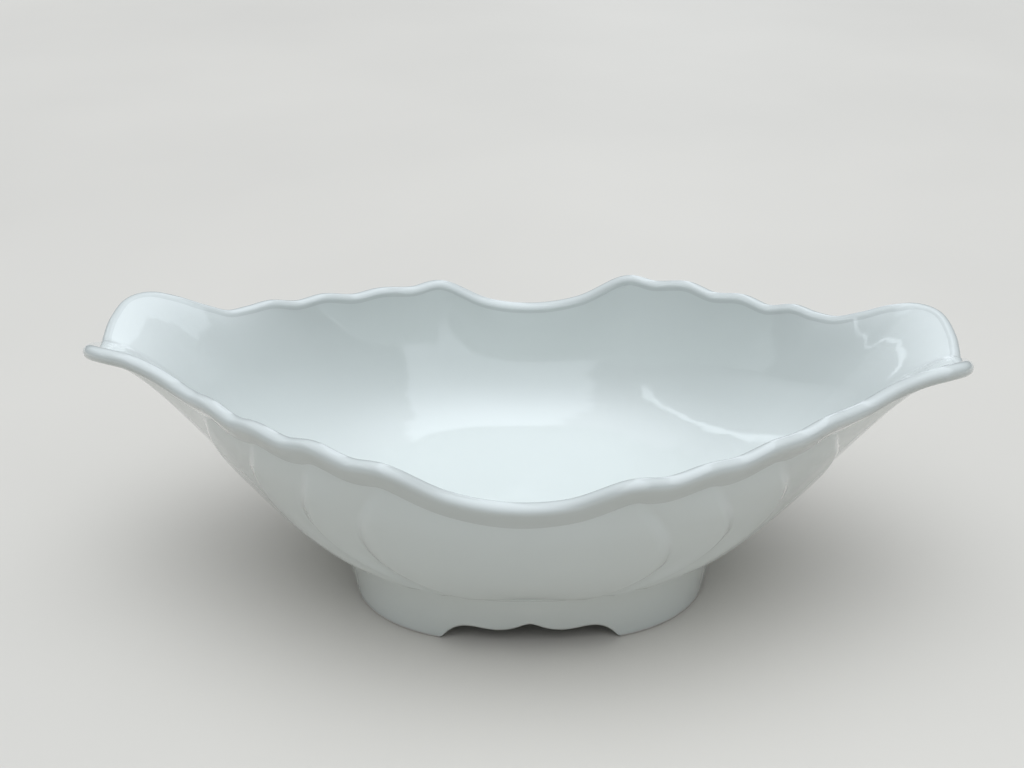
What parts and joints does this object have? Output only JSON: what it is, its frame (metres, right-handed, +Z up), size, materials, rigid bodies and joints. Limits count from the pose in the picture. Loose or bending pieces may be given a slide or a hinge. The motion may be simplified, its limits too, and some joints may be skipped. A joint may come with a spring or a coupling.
{
  "type": "serving bowl",
  "caption": "Boat-shaped serving bowl in white glazed porcelain, with a scalloped rolled rim, overlapping petal flutes, raised open ends and an oval foot with bracket cut-outs.",
  "frame": {"origin": "centre of the length and width at the height of the standing plane", "axes": "+X along the length, +Y across the bowl away from the front cut-out, +Z up"},
  "size_m": [0.3314, 0.1718, 0.1045],
  "materials": {
    "glaze": "gloss",
    "bare_porcelain": "matte"
  },
  "bodies": {
    "root": {"basin": "glaze", "rim_bead": "glaze", "pedestal_foot": "glaze", "foot_joint_slip": "glaze", "foot_standing_edges": "bare_porcelain"}
  },
  "joints": []
}
